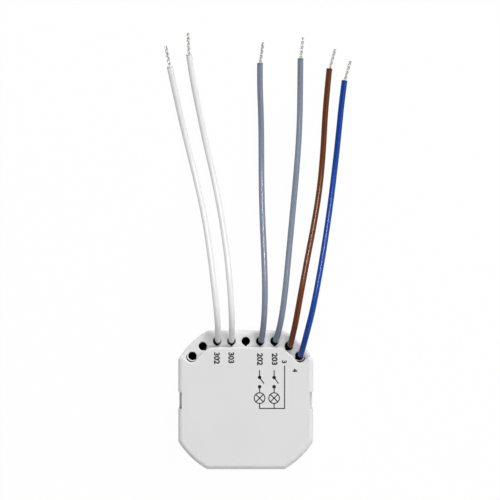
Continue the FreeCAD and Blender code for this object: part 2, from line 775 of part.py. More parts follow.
def relay_case(label):
    body = doc.addObject("PartDesign::Body", label)
    footprint = attach(body, label + "_footprint", "XY", "0")
    half = ("relay_long / 2", "relay_wide / 2")
    pad(body, rectangle(footprint, tuple(f"-{side}" for side in half), half), RELAY_TALL)
    soft_edges(body, "case_round", lambda edge: upright(edge) or at_height(edge, RELAY_TALL))
    room = attach(body, label + "_room", "XY", "0")
    inner = tuple(f"({side} - case_wall)" for side in half)
    rectangle(room, tuple(f"-{side}" for side in inner), inner)
    pocket(body, room, f"{RELAY_TALL} - case_wall", reverse=True)
    return body


def relay_base(label):
    gap = "2 * (case_wall + case_gap)"
    slab = block(label + "_slab", f"relay_long - {gap}", f"relay_wide - {gap}", "0", "base_thick")
    play = "2 * case_gap"
    low, high = "-base_thick", "2 * base_thick"
    slots = [
        block(label + "_tail_slot", f"yoke_thick + {play}", f"tail_wide + {play}", low, high, HINGE_X),
        block(label + "_blade_slot", f"blade_thick + {play}", f"blade_wide + {play}", low, high, BLADE_X),
    ]
    for end, place in ENDS:
        y = f"{end} * coil_pin_spread"
        slots.append(rod(f"{label}_pin_hole_{place}", "coil_pin_radius + case_gap", low, high, COIL_PIN_X, y))
    return cut(label, slab, slots)


def relay_yoke(label):
    side = [
        (YOKE_BACK, "base_thick"), (FOOT_END, "base_thick"), (FOOT_END, FOOT_TOP),
        (LEG_FACE, FOOT_TOP), (LEG_FACE, HINGE_HEIGHT), (YOKE_BACK, HINGE_HEIGHT),
    ]
    body = plate(label, side, "yoke_wide")
    tail = attach(body, label + "_tail", "XY", "0")
    rectangle(tail, (YOKE_BACK, "-tail_wide / 2"), (LEG_FACE, "tail_wide / 2"))
    pad(body, tail, "base_thick")
    return body


def relay_core(label):
    profile = [
        ("0", FOOT_TOP), ("core_radius", FOOT_TOP), ("core_radius", HEAD_LOW),
        ("head_radius", HEAD_LOW), ("head_radius", HINGE_HEIGHT), ("0", HINGE_HEIGHT),
    ]
    return turned(label, profile)


def relay_bobbin(label):
    flange_top = f"({HEAD_LOW} - flange_thick)"
    tube_radius = "core_radius + case_gap + bobbin_wall"
    lower_end = f"({FOOT_END} - {COIL_X} + flange_shelf)"
    lower = box(label + "_lower", ("-flange_long / 2", f"-{FLANGE_WIDE} / 2", FOOT_TOP),
                (lower_end, f"{FLANGE_WIDE} / 2", f"{FOOT_TOP} + flange_thick"))
    upper = block(label + "_upper", "flange_long", FLANGE_WIDE, flange_top, HEAD_LOW)
    tube = rod(label + "_tube", tube_radius, FOOT_TOP, HEAD_LOW)
    bore = rod(label + "_bore", "core_radius + case_gap", "0", CLEAR)
    return cut(label, fuse(label + "_body", [lower, upper, tube]), [bore])


def relay_coil(label):
    inner = "core_radius + 2 * case_gap + bobbin_wall"
    low, high = f"{FOOT_TOP} + flange_thick", f"{HEAD_LOW} - flange_thick"
    return turned(label, [(inner, low), (COIL_RADIUS, low), (COIL_RADIUS, high), (inner, high)])


def relay_armature(label):
    side = [
        ("-armature_tail", "air_gap"), ("armature_long", "air_gap"),
        ("armature_long", SPRING_LOW), ("-armature_tail", SPRING_LOW),
    ]
    return plate(label, side, "armature_wide")


def relay_contact_spring(label):
    end = f"({CONTACT_REACH} + rivet_radius)"
    top = f"{SPRING_LOW} + spring_thick"
    side = [("spring_start", SPRING_LOW), (end, SPRING_LOW), (end, top), ("spring_start", top)]
    body = plate(label, side, "spring_wide")
    rivet = attach(body, label + "_rivet", "XY", f"{SPRING_LOW} - rivet_tall")
    pad(body, circles(rivet, "rivet_radius", [(CONTACT_REACH, "0")]), "rivet_tall")
    return body


def relay_fixed_contact(label):
    tab_top = f"({FIXED_TOP} - rivet_tall)"
    tab_low = f"({tab_top} - blade_thick)"
    tab_end = f"{CONTACT_X} - rivet_radius"
    inner, outer = f"{BLADE_X} - blade_thick / 2", f"{BLADE_X} + blade_thick / 2"
    side = [
        (inner, "0"), (outer, "0"), (outer, tab_top),
        (tab_end, tab_top), (tab_end, tab_low), (inner, tab_low),
    ]
    body = plate(label, side, "blade_wide")
    rivet = attach(body, label + "_rivet", "XY", tab_top)
    pad(body, circles(rivet, "rivet_radius", [(CONTACT_X, "0")]), "rivet_tall")
    return body


def relay_pins(label):
    body = doc.addObject("PartDesign::Body", label)
    places = [(COIL_PIN_X, f"{side} * coil_pin_spread") for side in (-1, 1)]
    pad(body, circles(attach(body, label + "_plan", "XY", "0"), "coil_pin_radius", places), FOOT_TOP)
    return body


def make_relays():
    standing = {
        "case": relay_case, "base": relay_base, "yoke": relay_yoke,
        "fixed_contact": relay_fixed_contact, "pins": relay_pins,
    }
    for number in (1, 2):
        name = f"relay_{number}"
        y = f"{RELAY_Y} - {number - 1} * {RELAY_PITCH}"
        for piece, make in standing.items():
            keep(make(f"{name}_{piece}"), "relay_x", y, BOARD_TOP)
        for piece, make in {"core": relay_core, "bobbin": relay_bobbin, "coil": relay_coil}.items():
            keep(make(f"{name}_{piece}"), f"relay_x + {COIL_X}", y, BOARD_TOP)
        for piece, make in {"armature": relay_armature, "contact_spring": relay_contact_spring}.items():
            item = make(f"{name}_{piece}")
            item.Placement.Rotation = FreeCAD.Rotation(FreeCAD.Vector(0, -1, 0), 1)
            bind(item, {"Placement.Rotation.Angle": "open_angle"})
            keep(item, f"relay_x + {HINGE_X}", y, f"{BOARD_TOP} + {HINGE_HEIGHT}")
        coil_pins = [(COIL_PIN_X, f"{side} * coil_pin_spread") for side in (-1, 1)]
        add_pins([(HINGE_X, "0"), (BLADE_X, "0")] + coil_pins, "relay_x", y)


# Transformer: a ferrite frame with a middle limb, a bobbin on two rails and the winding

FERRITE_TOP = f"({RELAY_TALL} - ferrite_room)"
WINDING_WIDE = "(ferrite_wide - 2 * ferrite_limb - 2 * winding_room)"
WINDOW_LOW = "(ferrite_low + ferrite_limb)"
WINDOW_TOP = f"({FERRITE_TOP} - ferrite_limb)"


def make_transformer():
    place = ("transformer_x", "transformer_y", BOARD_TOP)
    core = doc.addObject("PartDesign::Body", "transformer_core")
    frame_side = attach(core, "ferrite_frame", "XZ", "0")
    rectangle(frame_side, ("-ferrite_wide / 2", "ferrite_low"), ("ferrite_wide / 2", FERRITE_TOP))
    for side in (-1, 1):
        near, far = f"{side} * ferrite_centre / 2", f"{side} * (ferrite_wide / 2 - ferrite_limb)"
        west, east = (near, far) if side > 0 else (far, near)
        rectangle(frame_side, (west, WINDOW_LOW), (east, WINDOW_TOP))
    pad(core, frame_side, "ferrite_deep", both_ways=True)
    keep(core, *place)

    gap = "case_gap"
    half_window = f"(ferrite_wide / 2 - ferrite_limb - {gap})"
    tube_wide, tube_deep = "ferrite_centre + 2 * tube_wall", "ferrite_deep + 2 * tube_wall"
    deep = "winding_deep + 2 * tube_wall"
    low, top = f"({WINDOW_LOW} + {gap})", f"({WINDOW_TOP} - {gap})"
    solids = [
        block("bobbin_tube", tube_wide, tube_deep, low, top),
        block("bobbin_low_flange", f"2 * {half_window}", deep, low, f"{low} + tube_wall"),
        block("bobbin_top_flange", f"2 * {half_window}", deep, f"{top} - tube_wall", top),
    ]
    for end, name in ENDS:
        y = f"{end} * (ferrite_deep / 2 + {gap} + rail_thick / 2)"
        rail_top = f"{low} + tube_wall / 2"
        solids.append(block(f"bobbin_rail_{name}", "rail_long", "rail_thick", "0", rail_top, "0", y))
        add_pins([(f"{place} * rail_long / 3", y) for place in (-1, 0, 1)], "transformer_x", "transformer_y")
    opening = block("bobbin_opening", f"ferrite_centre + 2 * {gap}", f"ferrite_deep + 2 * {gap}", "0", CLEAR)
    keep(cut("transformer_bobbin", fuse("bobbin_body", solids), [opening]), *place)

    wound = block("winding_block", WINDING_WIDE, "winding_deep", f"{low} + tube_wall", f"{top} - tube_wall")
    smooth = edged("Fillet", "winding_smooth", wound, "winding_round", upright)
    passage = block("winding_passage", f"{tube_wide} + 2 * {gap}", f"{tube_deep} + 2 * {gap}", "0", CLEAR)
    keep(cut("transformer_winding", smooth, [passage]), *place)


# Other parts of the mains supply

FUSE_Y = "(film_y - film_long / 2 - fuse_room - fuse_radius)"
SMALL_CAN_X = "(relay_x + relay_long / 2 + small_can_gap + small_can_radius)"


def make_film_capacitor():
    body = doc.addObject("PartDesign::Body", "film_capacitor")
    half = ("film_thick / 2", "film_long / 2")
    sketch = attach(body, "film_footprint", "XY", "0")
    pad(body, rectangle(sketch, tuple(f"-{side}" for side in half), half), "film_tall")
    soft_edges(body, "case_round", lambda edge: upright(edge) or at_height(edge, "film_tall"))
    keep(body, "film_x", "film_y", BOARD_TOP)
    add_pins([("0", f"{side} * film_pin_pitch / 2") for side in (-1, 1)], "film_x", "film_y")


def make_varistor():
    disc = flat_rod("varistor_disc", "varistor_radius", "varistor_thick", "varistor_rise")
    soft = edged("Fillet", "varistor_soft", disc, "varistor_thick / 4", lambda edge: len(edge.Vertexes) == 1)
    legs = []
    for end, name in ENDS:
        y = f"{end} * varistor_pin_pitch / 2"
        legs.append(rod(f"varistor_leg_{name}", "wire_radius", "0", "varistor_rise", "0", y))
        add_pins([("0", y)], "varistor_x", "varistor_y")
    keep(fuse("varistor", [soft] + legs), "varistor_x", "varistor_y", BOARD_TOP)


def make_fuse_resistor():
    barrel = flat_rod("fuse_barrel", "fuse_radius", "fuse_long", "fuse_rise")
    soft = edged("Fillet", "fuse_soft", barrel, "fuse_radius / 3", lambda edge: len(edge.Vertexes) == 1)
    wires = [flat_rod("fuse_wire", "wire_radius", "fuse_pin_pitch", "fuse_rise")]
    for side, name in SIDES:
        x = f"{side} * (fuse_pin_pitch / 2 - wire_radius)"
        wires.append(rod(f"fuse_leg_{name}", "wire_radius", "0", "fuse_rise + wire_radius", x))
        add_pins([(x, "0")], "fuse_x", FUSE_Y)
    keep(fuse("fuse_resistor", [soft] + wires), "fuse_x", FUSE_Y, BOARD_TOP)


def make_bridge_rectifier():
    """Flat bridge under the board, between the transformer's two rows of pins."""
    low = "-(bridge_lift + bridge_tall)"
    leg_low = "-(bridge_tall + bridge_leg_thick) / 2"
    leg_wide = "2 * wire_radius"
    solids = [block("bridge_body", "bridge_long", "bridge_wide", low, "-bridge_lift")]
    for side, name in SIDES:
        for end, along in ENDS:
            label = f"bridge_leg_{name}_{along}"
            y = f"{end} * bridge_leg_pitch / 2"
            arm_x = f"{side} * (bridge_long + bridge_leg_long) / 2"
            arm_top = f"{leg_low} + bridge_leg_thick"
            solids.append(block(label, "bridge_leg_long", leg_wide, leg_low, arm_top, arm_x, y))
            foot_x = f"{side} * (bridge_long / 2 + bridge_leg_long - bridge_leg_thick / 2)"
            solids.append(block(label + "_foot", "bridge_leg_thick", leg_wide, leg_low, "0", foot_x, y))
    keep(fuse("bridge_rectifier", solids), "transformer_x", "transformer_y", BOARD_LOW)


def make_capacitor_can(label, name, x):
    radius, tall = f"{name}_radius", f"{name}_tall"
    waist = f"({radius} - can_groove)"
    profile = [
        ("0", "0"), (radius, "0"), (radius, f"{radius} / 4"), (waist, f"{radius} / 4 + can_groove"),
        (waist, f"{radius} / 4 + 2 * can_groove"), (radius, f"{radius} / 4 + 3 * can_groove"),
        (radius, f"{tall} - can_groove"), (waist, tall), ("0", tall),
    ]
    keep(turned(label, profile), x, f"{name}_y", BOARD_TOP)
    add_pins([("0", f"{side} * can_pin_pitch / 2") for side in (-1, 1)], x, f"{name}_y")


def make_choke():
    waist = "(choke_radius - choke_waist)"
    low, top = "choke_flange", "(choke_tall - choke_flange)"
    profile = [
        ("0", "0"), ("choke_radius", "0"), ("choke_radius", low), (waist, low),
        (waist, top), ("choke_radius", top), ("choke_radius", "choke_tall"), ("0", "choke_tall"),
    ]
    keep(turned("choke_core", profile), "choke_x", "choke_y", BOARD_TOP)
    near, far = f"{waist} + case_gap", "(choke_radius - case_gap)"
    sleeve = [(near, low), (far, low), (far, top), (near, top)]
    keep(turned("choke_winding", sleeve), "choke_x", "choke_y", BOARD_TOP)
    add_pins([("0", f"{side} * can_pin_pitch / 2") for side in (-1, 1)], "choke_x", "choke_y")


# Radio: a small board that stands on its header, with shield, chip, crystal and antenna

RADIO_LOW = f"({BOARD_TOP} + header_tall)"
RADIO_TALL = f"({RELAY_TALL} - header_tall - radio_room)"
RADIO_Y = "(radio_inset - body_tall / 2)"
RADIO_BACK = f"({RADIO_Y} - radio_thick / 2)"
RADIO_FRONT = f"({RADIO_Y} + radio_thick / 2)"
HEADER_PINS = 6


def make_header():
    """Pin strip that carries the radio board."""
    places = [f"{2 * number - HEADER_PINS + 1} / 2 * header_pitch" for number in range(HEADER_PINS)]
    strip = block("header_strip", f"{HEADER_PINS} * header_pitch", "header_thick", "0", "header_tall")
    holes, pins = [], []
    hole_radius = "header_pin_radius + case_gap / 2"
    for number, x in enumerate(places, 1):
        holes.append(rod(f"header_hole_{number}", hole_radius, "-header_tall", CLEAR, x))
        pins.append(rod(f"header_pin_{number}", "header_pin_radius", "0", "header_tall", x))
    header = doc.addObject("Part::Compound", "radio_header")
    header.Links = [cut("header_body", strip, holes)] + pins
    keep(header, "radio_x", RADIO_Y, BOARD_TOP)
    add_pins([(x, "0") for x in places], "radio_x", RADIO_Y)


def make_antenna():
    """Meandering strip on the back of the radio board."""
    step = f"{RADIO_TALL} / 8"
    end = "radio_long / 2 - 2 * shield_wall"
    low, top = f"4 * {step}", f"5 * {step}"
    corners = [
        ("0", "0"), (step, "0"), (step, low), (f"2 * {step}", low), (f"2 * {step}", "0"),
        (f"3 * {step}", "0"), (f"3 * {step}", low), (end, low), (end, top), ("0", top),
    ]
    antenna = doc.addObject("PartDesign::Body", "radio_antenna")
    pad(antenna, polygon(attach(antenna, "antenna_side", "XZ", "0"), corners), "antenna_thick")
    keep(antenna, "radio_x + shield_wall", RADIO_BACK, f"{RADIO_LOW} + {RADIO_TALL} / 4")


def make_radio():
    board = box("radio_board", ("0", "0", "0"), ("radio_long", "radio_thick", RADIO_TALL))
    keep(board, "radio_x - radio_long / 2", RADIO_BACK, RADIO_LOW)
    make_header()
    shield = box("shield_block", ("0", "-shield_thick", "0"), ("shield_long", "0", "shield_tall"))
    room = box("shield_room", ("shield_wall", "shield_wall - shield_thick", "shield_wall"),
               ("shield_long - shield_wall", "shield_thick", "shield_tall - shield_wall"))
    shield_x = "radio_x - radio_long / 2 + shield_wall"
    shield_z = f"{RADIO_LOW} + ({RADIO_TALL} - shield_tall) / 2"
    keep(cut("radio_shield", shield, [room]), shield_x, RADIO_BACK, shield_z)
    chip = box("radio_chip", ("0", "0", "0"), ("chip_long", "chip_thick", "chip_long"))
    keep(chip, "radio_x - chip_long", RADIO_FRONT, f"{RADIO_LOW} + ({RADIO_TALL} - chip_long) / 2")
    crystal = box("radio_crystal", ("0", "0", "0"), ("crystal_long", "crystal_thick", "crystal_wide"))
    crystal_z = f"{RADIO_LOW} + ({RADIO_TALL} - crystal_wide) / 2"
    keep(crystal, "radio_x + chip_long / 2", RADIO_FRONT, crystal_z)
    make_antenna()


# Board, its solder joints and the small parts under it

# Places are shares of the body's width and height; the last value says which way a part lies
ALONG_X, ALONG_Y = ("smd_long", "smd_wide"), ("smd_wide", "smd_long")
SMD_PLACES = [
    (-0.170, -0.188, ALONG_X), (-0.170, -0.115, ALONG_X), (-0.170, 0.038, ALONG_Y),
    (0.170, -0.167, ALONG_X), (0.170, -0.250, ALONG_Y), (0.128, -0.323, ALONG_X),
    (0.213, 0.188, ALONG_Y), (0.319, -0.313, ALONG_X), (-0.234, -0.354, ALONG_X), (-0.245, 0.104, ALONG_X),
]


def make_board():
    body = doc.addObject("PartDesign::Body", "main_board")
    pad(body, housing_sketch(attach(body, "board_outline", "XY", "0"), "board_inset"), "board_thick")
    drilled = attach(body, "board_drilling", "XY", "0")
    pocket(body, circles(drilled, "joint_radius + case_gap", pin_places), "board_thick", reverse=True)
    pegs = attach(body, "board_pegs", "XY", "0")
    peg_places = [post_place(side, -side) for side in (-1, 1)]
    pocket(body, circles(pegs, "peg_radius + fit_gap", peg_places), "board_thick", reverse=True)
    keep(body, "0", "0", BOARD_LOW)


def make_solder_joints():
    """A barrel through the board and a cone under it at each pin."""
    joints = doc.addObject("PartDesign::Body", "solder_joints")
    barrels = attach(joints, "joint_barrels", "XY", "-solder_tall")
    pad(joints, circles(barrels, "joint_radius", pin_places), "board_thick + solder_tall")
    tip_radius = "solder_radius - solder_tall * tan(solder_slope)"
    cones = attach(joints, "joint_cones", "XY", "-solder_tall")
    tapered = pad(joints, circles(cones, tip_radius, pin_places), "solder_tall")
    bind(tapered, {"TaperAngle": "solder_slope"})
    keep(joints, "0", "0", BOARD_LOW)


def make_smd_parts():
    chips = []
    for number, (across, along, (wide, deep)) in enumerate(SMD_PLACES, 1):
        x, y = f"{across} * body_wide", f"{along} * body_tall"
        chips.append(block(f"smd_{number}", wide, deep, "-smd_tall", "0", x, y))
    group = doc.addObject("Part::Compound", "smd_parts")
    group.Links = chips
    keep(group, "0", "0", BOARD_LOW)


def check_and_write():
    doc.recompute()
    broken = [item.Name for item in doc.Objects if {"Invalid", "Error"} & set(item.State)]
    if broken:
        raise RuntimeError(f"these objects failed: {broken}")
    for item in nodes:
        if item.Shape.isNull() or not item.Shape.isValid():
            raise RuntimeError(f"{item.Label} has no valid shape")
    os.makedirs("parts", exist_ok=True)
    for item in nodes:
        item.Shape.exportStep(f"parts/{item.Label}.step")
    print(len(nodes), "sub-parts")


make_front_cover()
make_rear_tray()
make_leads()
make_relays()
make_transformer()
make_film_capacitor()
make_varistor()
make_fuse_resistor()
make_bridge_rectifier()
make_capacitor_can("smoothing_capacitor_1", "large_can", "large_can_x")
make_capacitor_can("smoothing_capacitor_2", "small_can", SMALL_CAN_X)
make_choke()
make_radio()
make_board()
make_solder_joints()
make_smd_parts()
check_and_write()
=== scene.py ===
import json
import math
import random

import bpy
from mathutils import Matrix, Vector


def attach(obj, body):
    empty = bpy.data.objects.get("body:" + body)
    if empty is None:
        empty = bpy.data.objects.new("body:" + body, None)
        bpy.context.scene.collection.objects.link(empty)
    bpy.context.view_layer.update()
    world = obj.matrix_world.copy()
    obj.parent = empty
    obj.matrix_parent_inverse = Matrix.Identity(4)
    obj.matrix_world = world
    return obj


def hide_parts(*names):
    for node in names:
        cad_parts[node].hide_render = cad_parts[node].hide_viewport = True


# Looks of a wireless relay controller that lies on its back: a pale grey snap-together
# housing with a small printed diagram and six flexible leads. Lengths are in metres,
# apart from the print's, which are in millimetres.

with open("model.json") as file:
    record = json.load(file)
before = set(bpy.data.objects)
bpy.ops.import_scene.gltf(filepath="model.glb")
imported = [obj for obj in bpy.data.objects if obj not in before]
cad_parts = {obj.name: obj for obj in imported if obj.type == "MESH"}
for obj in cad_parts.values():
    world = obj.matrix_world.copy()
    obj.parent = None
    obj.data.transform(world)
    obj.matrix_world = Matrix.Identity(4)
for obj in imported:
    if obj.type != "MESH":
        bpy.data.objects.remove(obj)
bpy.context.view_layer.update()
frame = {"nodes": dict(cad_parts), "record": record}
nodes = frame["nodes"]
MM = 0.001
UP = Vector((0, 0, 1))

# Camera straight above the face, as in the photograph of 500 by 500 pixels. PIXEL is the
# size of a pixel on the face, and VIEW_MIDDLE the place under the camera.
PIXEL = 0.3481 * MM
PIXELS_ACROSS = 500
VIEW_MIDDLE = (1.48 * MM, 52.39 * MM)
FACE_HIGH = 22 * MM
CAMERA_ABOVE_FACE = 1.5
# Blender keeps the sensor and the lens in millimetres
SENSOR = 36.0

camera_data = bpy.data.cameras.new("camera")
camera_data.sensor_width = SENSOR
camera_data.lens = SENSOR * CAMERA_ABOVE_FACE / (PIXELS_ACROSS * PIXEL)
camera = bpy.data.objects.new("camera", camera_data)
camera.location = (*VIEW_MIDDLE, FACE_HIGH + CAMERA_ABOVE_FACE)
bpy.context.scene.collection.objects.link(camera)
bpy.context.scene.camera = camera


def add_object(name, data):
    made = bpy.data.objects.new(name, data)
    bpy.context.scene.collection.objects.link(made)
    return made


def add_piece(name, data, mat, body="housing"):
    """Piece of the object: it rides a body and gets the given material."""
    data.materials.append(mat)
    piece = add_object(name, data)
    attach(piece, body)
    return piece


def mesh_of(name, vertices, faces, smooth=False):
    mesh = bpy.data.meshes.new(name)
    mesh.from_pydata([tuple(vertex) for vertex in vertices], [], faces)
    mesh.update()
    if smooth:
        mesh.shade_smooth()
    return mesh


def ring_of_faces(here, there, count):
    """Four-sided faces between two rings of points, given by the numbers of their first points."""
    sides = [(side, (side + 1) % count) for side in range(count)]
    return [(here + side, here + after, there + after, there + side) for side, after in sides]


# Materials

COAT_ROUGHNESS = 0.15
CLOUD_DETAIL = 3.0
GRAIN_SIZE = 0.2 * MM
GRAIN_DEEP = 0.02 * MM
# The wave texture goes through this angle per unit of its place times its scale
WAVE_RATE = 20
WAVE_WOBBLE = 0.3
# Numbers of the colour sockets of the mix node
MIX_FIRST, MIX_SECOND, MIX_RESULT = 6, 7, 2


class Finish:
    """A procedural material in object space, with short calls for its nodes."""

    def __init__(self, name, roughness, metallic=0.0, coat=0.0, specular=0.5):
        self.material = bpy.data.materials.new(name)
        self.material.use_nodes = True
        self.tree = self.material.node_tree
        self.shader = self.tree.nodes["Principled BSDF"]
        self.roughness = roughness
        self.shader.inputs["Metallic"].default_value = metallic
        self.shader.inputs["Coat Weight"].default_value = coat
        self.shader.inputs["Coat Roughness"].default_value = COAT_ROUGHNESS
        self.shader.inputs["Specular IOR Level"].default_value = specular
        self.place = self.tree.nodes.new("ShaderNodeTexCoord")

    def link(self, source, target):
        self.tree.links.new(source, target)

    def math(self, operation, first, second=0.0):
        node = self.tree.nodes.new("ShaderNodeMath")
        node.operation = operation
        for socket, value in zip(node.inputs, (first, second)):
            if isinstance(value, (int, float)):
                socket.default_value = value
            else:
                self.link(value, socket)
        return node.outputs["Value"]

    def largest(self, values):
        found = values[0]
        for value in values[1:]:
            found = self.math("MAXIMUM", found, value)
        return found

    def axes(self, output="Object"):
        node = self.tree.nodes.new("ShaderNodeSeparateXYZ")
        self.link(self.place.outputs[output], node.inputs["Vector"])
        return [node.outputs[axis] for axis in "XYZ"]

    def stretched(self, stretch):
        node = self.tree.nodes.new("ShaderNodeMapping")
        node.inputs["Scale"].default_value = stretch
        self.link(self.place.outputs["Object"], node.inputs["Vector"])
        return node.outputs["Vector"]

    def noise(self, size, detail=2.0, stretch=(1, 1, 1)):
        """Soft lumps of about the given size."""
        node = self.tree.nodes.new("ShaderNodeTexNoise")
        node.inputs["Scale"].default_value = 1 / size
        node.inputs["Detail"].default_value = detail
        self.link(self.stretched(stretch), node.inputs["Vector"])
        return node.outputs["Fac"]

    def turns(self, pitch, axis="Z"):
        """Ridges of round wire or tape along an axis."""
        node = self.tree.nodes.new("ShaderNodeTexWave")
        node.bands_direction = axis
        node.inputs["Scale"].default_value = 2 * math.pi / (WAVE_RATE * pitch)
        node.inputs["Distortion"].default_value = WAVE_WOBBLE
        self.link(self.place.outputs["Object"], node.inputs["Vector"])
        return node.outputs["Fac"]

    def ramp(self, share, first, second, low=0.3, high=0.7):
        node = self.tree.nodes.new("ShaderNodeValToRGB")
        ends = ((low, first), (high, second))
        for element, (position, colour) in zip(node.color_ramp.elements, ends):
            element.position = position
            element.color = (*colour, 1.0)
        self.link(share, node.inputs["Fac"])
        return node.outputs["Color"]

    def blend(self, share, first, second):
        node = self.tree.nodes.new("ShaderNodeMix")
        node.data_type = "RGBA"
        self.link(share, node.inputs["Factor"])
        for number, value in ((MIX_FIRST, first), (MIX_SECOND, second)):
            if isinstance(value, tuple):
                node.inputs[number].default_value = (*value, 1.0)
            else:
                self.link(value, node.inputs[number])
        return node.outputs[MIX_RESULT]

    def mottled(self, colour, cloud, amount):
        """A colour that gets a little darker and lighter with the cloud."""
        return self.ramp(cloud, tint(colour, 1 - amount), tint(colour, 1 + amount))

    def paint(self, colour):
        self.link(colour, self.shader.inputs["Base Color"])

    def gloss(self, cloud, spread=0.15):
        """Roughness that changes a little from place to place."""
        node = self.tree.nodes.new("ShaderNodeMapRange")
        node.inputs["To Min"].default_value = self.roughness * (1 - spread)
        node.inputs["To Max"].default_value = min(1.0, self.roughness * (1 + spread))
        self.link(cloud, node.inputs["Value"])
        self.link(node.outputs["Result"], self.shader.inputs["Roughness"])

    def bump(self, height, strength, deep):
        node = self.tree.nodes.new("ShaderNodeBump")
        node.inputs["Strength"].default_value = strength
        node.inputs["Distance"].default_value = deep
        self.link(height, node.inputs["Height"])
        self.link(node.outputs["Normal"], self.shader.inputs["Normal"])


def tint(colour, share):
    return tuple(min(1.0, channel * share) for channel in colour)


def surface(name, colour, roughness, metallic=0.0, mottle=0.06, cloud_size=4 * MM, grain=0.10,
            grain_size=GRAIN_SIZE, stretch=(1, 1, 1), coat=0.0, specular=0.5):
    """One colour with soft mottling, an uneven gloss and a fine moulded, cast or brushed grain."""
    finish = Finish(name, roughness, metallic, coat, specular)
    cloud = finish.noise(cloud_size, CLOUD_DETAIL, stretch)
    finish.paint(finish.mottled(colour, cloud, mottle))
    finish.gloss(cloud)
    finish.bump(finish.noise(grain_size, stretch=stretch), grain, GRAIN_DEEP)
    return finish.material


# Outline of the cover: a rectangle whose corners are cut back to a circle
HALF_WIDE = 23.5 * MM
HALF_TALL = 24 * MM
CORNER_CUT = 6.09 * MM
CORNER_RADIUS = math.hypot(HALF_WIDE, HALF_TALL) - CORNER_CUT
# Painted shade: black, fully rough colour on what lies below the edge of the outlets, either at
# the inset below or more inside the outline, or on a wall that faces the middle from the facing
# below or more away, so that the outlets and the housing's inside look dark as in shade
HOLE_EDGE = 18.8 * MM
SHADE_INSET = 1.95 * MM
SHADE_FACING = 10 * MM
PAINTED_SHADE_COLOUR = (0.005, 0.005, 0.005)
HOUSING_CLOUD = 17 * MM
HOUSING_MOTTLE = 0.010
HOUSING_GRAIN = 0.25


def cover_finish(name, colour, roughness):
    """Moulded cover: pale outside, with black painted shade inside that leaves its outlets black."""
    finish = Finish(name, roughness)
    cloud = finish.noise(HOUSING_CLOUD, CLOUD_DETAIL)
    pale = finish.mottled(colour, cloud, HOUSING_MOTTLE)
    x, y, z = finish.axes()
    facing_x, facing_y, _ = finish.axes("Normal")
    across = finish.math("SUBTRACT", finish.math("ABSOLUTE", x), HALF_WIDE)
    along = finish.math("SUBTRACT", finish.math("ABSOLUTE", y), HALF_TALL)
    squares = finish.math("ADD", finish.math("MULTIPLY", x, x), finish.math("MULTIPLY", y, y))
    radius = finish.math("SQRT", squares)
    outside = finish.largest([across, along, finish.math("SUBTRACT", radius, CORNER_RADIUS)])
    deep = finish.math("LESS_THAN", outside, -SHADE_INSET)
    turned = (finish.math("MULTIPLY", facing_x, x), finish.math("MULTIPLY", facing_y, y))
    outwards = finish.math("ADD", *turned)
    inward = finish.math("LESS_THAN", outwards, -SHADE_FACING)
    below = finish.math("LESS_THAN", z, HOLE_EDGE)
    # Painted shade: mask of the housing's inside below the outlets, which gets the black shade colour and
    # full roughness
    painted_shade = finish.math("MULTIPLY", below, finish.math("MAXIMUM", deep, inward))
    finish.paint(finish.blend(painted_shade, pale, PAINTED_SHADE_COLOUR))
    finish.link(finish.math("MAXIMUM", painted_shade, roughness), finish.shader.inputs["Roughness"])
    finish.bump(finish.noise(GRAIN_SIZE), HOUSING_GRAIN, GRAIN_DEEP)
    return finish.material


def laminate_finish(name, mask, pour, area=2.6 * MM, gap=0.06, shade=0.86, copper_high=0.03 * MM):
    """Circuit board: satin mask over copper areas and the gaps between them."""
    finish = Finish(name, roughness=0.55, specular=0.3)
    bricks = finish.tree.nodes.new("ShaderNodeTexBrick")
    bricks.inputs["Scale"].default_value = 1 / area
    bricks.inputs["Mortar Size"].default_value = gap
    bricks.inputs["Color1"].default_value = (*pour, 1)
    bricks.inputs["Color2"].default_value = (*tint(pour, shade), 1)
    bricks.inputs["Mortar"].default_value = (*mask, 1)
    # Y and Z together serve the lying board and the upright one
    x, y, z = finish.axes()
    place = finish.tree.nodes.new("ShaderNodeCombineXYZ")
    finish.link(x, place.inputs["X"])
    finish.link(finish.math("ADD", y, z), place.inputs["Y"])
    finish.link(place.outputs["Vector"], bricks.inputs["Vector"])
    finish.paint(bricks.outputs["Color"])
    finish.gloss(finish.noise(size=3 * MM))
    finish.bump(bricks.outputs["Fac"], strength=0.3, deep=-copper_high)
    return finish.material


def wound_finish(name, colour, gap_shade, roughness, pitch, metallic=0.0, coat=0.4, mottle=0.10):
    """Turns of wire or tape about an upright limb, with painted shade making the grooves between the turns
    darker.
    """
    finish = Finish(name, roughness, metallic, coat)
    ridges = finish.turns(pitch)
    cloud = finish.noise(size=1.5 * MM)
    # Painted shade: the darker gap colour fills the troughs between the turns, where shade falls
    finish.paint(finish.blend(ridges, gap_shade, finish.mottled(colour, cloud, mottle)))
    finish.gloss(cloud)
    finish.bump(ridges, strength=0.6, deep=pitch / 4)
    return finish.material


def sleeve_finish(name, sleeve, metal, sleeve_mottle=0.15, metal_mottle=0.05, top_from=0.9):
    """Capacitor can: a dark shrink sleeve round a bare aluminium top."""
    finish = Finish(name, roughness=0.32, coat=0.2)
    cloud = finish.noise(size=2 * MM)
    upward = finish.math("GREATER_THAN", finish.axes("Normal")[2], top_from)
    dark = finish.mottled(sleeve, cloud, sleeve_mottle)
    bare = finish.mottled(metal, cloud, metal_mottle)
    finish.paint(finish.blend(upward, dark, bare))
    finish.link(upward, finish.shader.inputs["Metallic"])
    finish.gloss(cloud)
    finish.bump(finish.noise(size=0.3 * MM), strength=0.1, deep=GRAIN_DEEP)
    return finish.material


# Scales that draw the marks out: along the leads, and across brushed metal
ALONG_LEADS = (1, 0.15, 1)
BRUSHED = (0.1, 1, 1)


def insulation(name, colour, mottle, specular=0.23):
    """Satin plastic of a lead, with marks drawn out along it."""
    return surface(name, colour, roughness=0.25, mottle=mottle, grain=0.004, stretch=ALONG_LEADS,
                   specular=specular)


